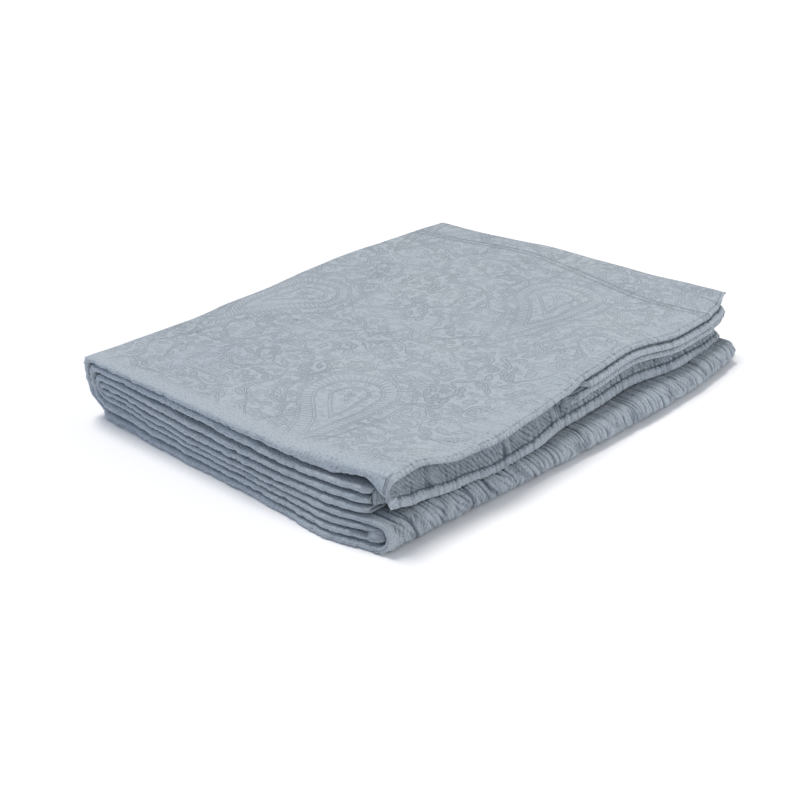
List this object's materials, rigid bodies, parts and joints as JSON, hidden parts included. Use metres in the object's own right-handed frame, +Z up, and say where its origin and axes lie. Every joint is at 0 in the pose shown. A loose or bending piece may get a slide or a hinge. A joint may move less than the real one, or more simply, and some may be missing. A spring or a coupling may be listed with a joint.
{
  "type": "folded bedspread",
  "caption": "Quilted cotton bedspread folded four times each way into a flat stack, with rounded crests, a rolled end and free hems.",
  "frame": {"origin": "middle of the base, on the surface that the folded cloth lies on", "axes": "+X towards the rolled end, +Y towards the back hem, +Z up"},
  "size_m": [0.5261, 0.6866, 0.0861],
  "materials": {
    "cotton": "matt"
  },
  "bodies": {
    "root": {"bedspread": "cotton"}
  },
  "joints": []
}
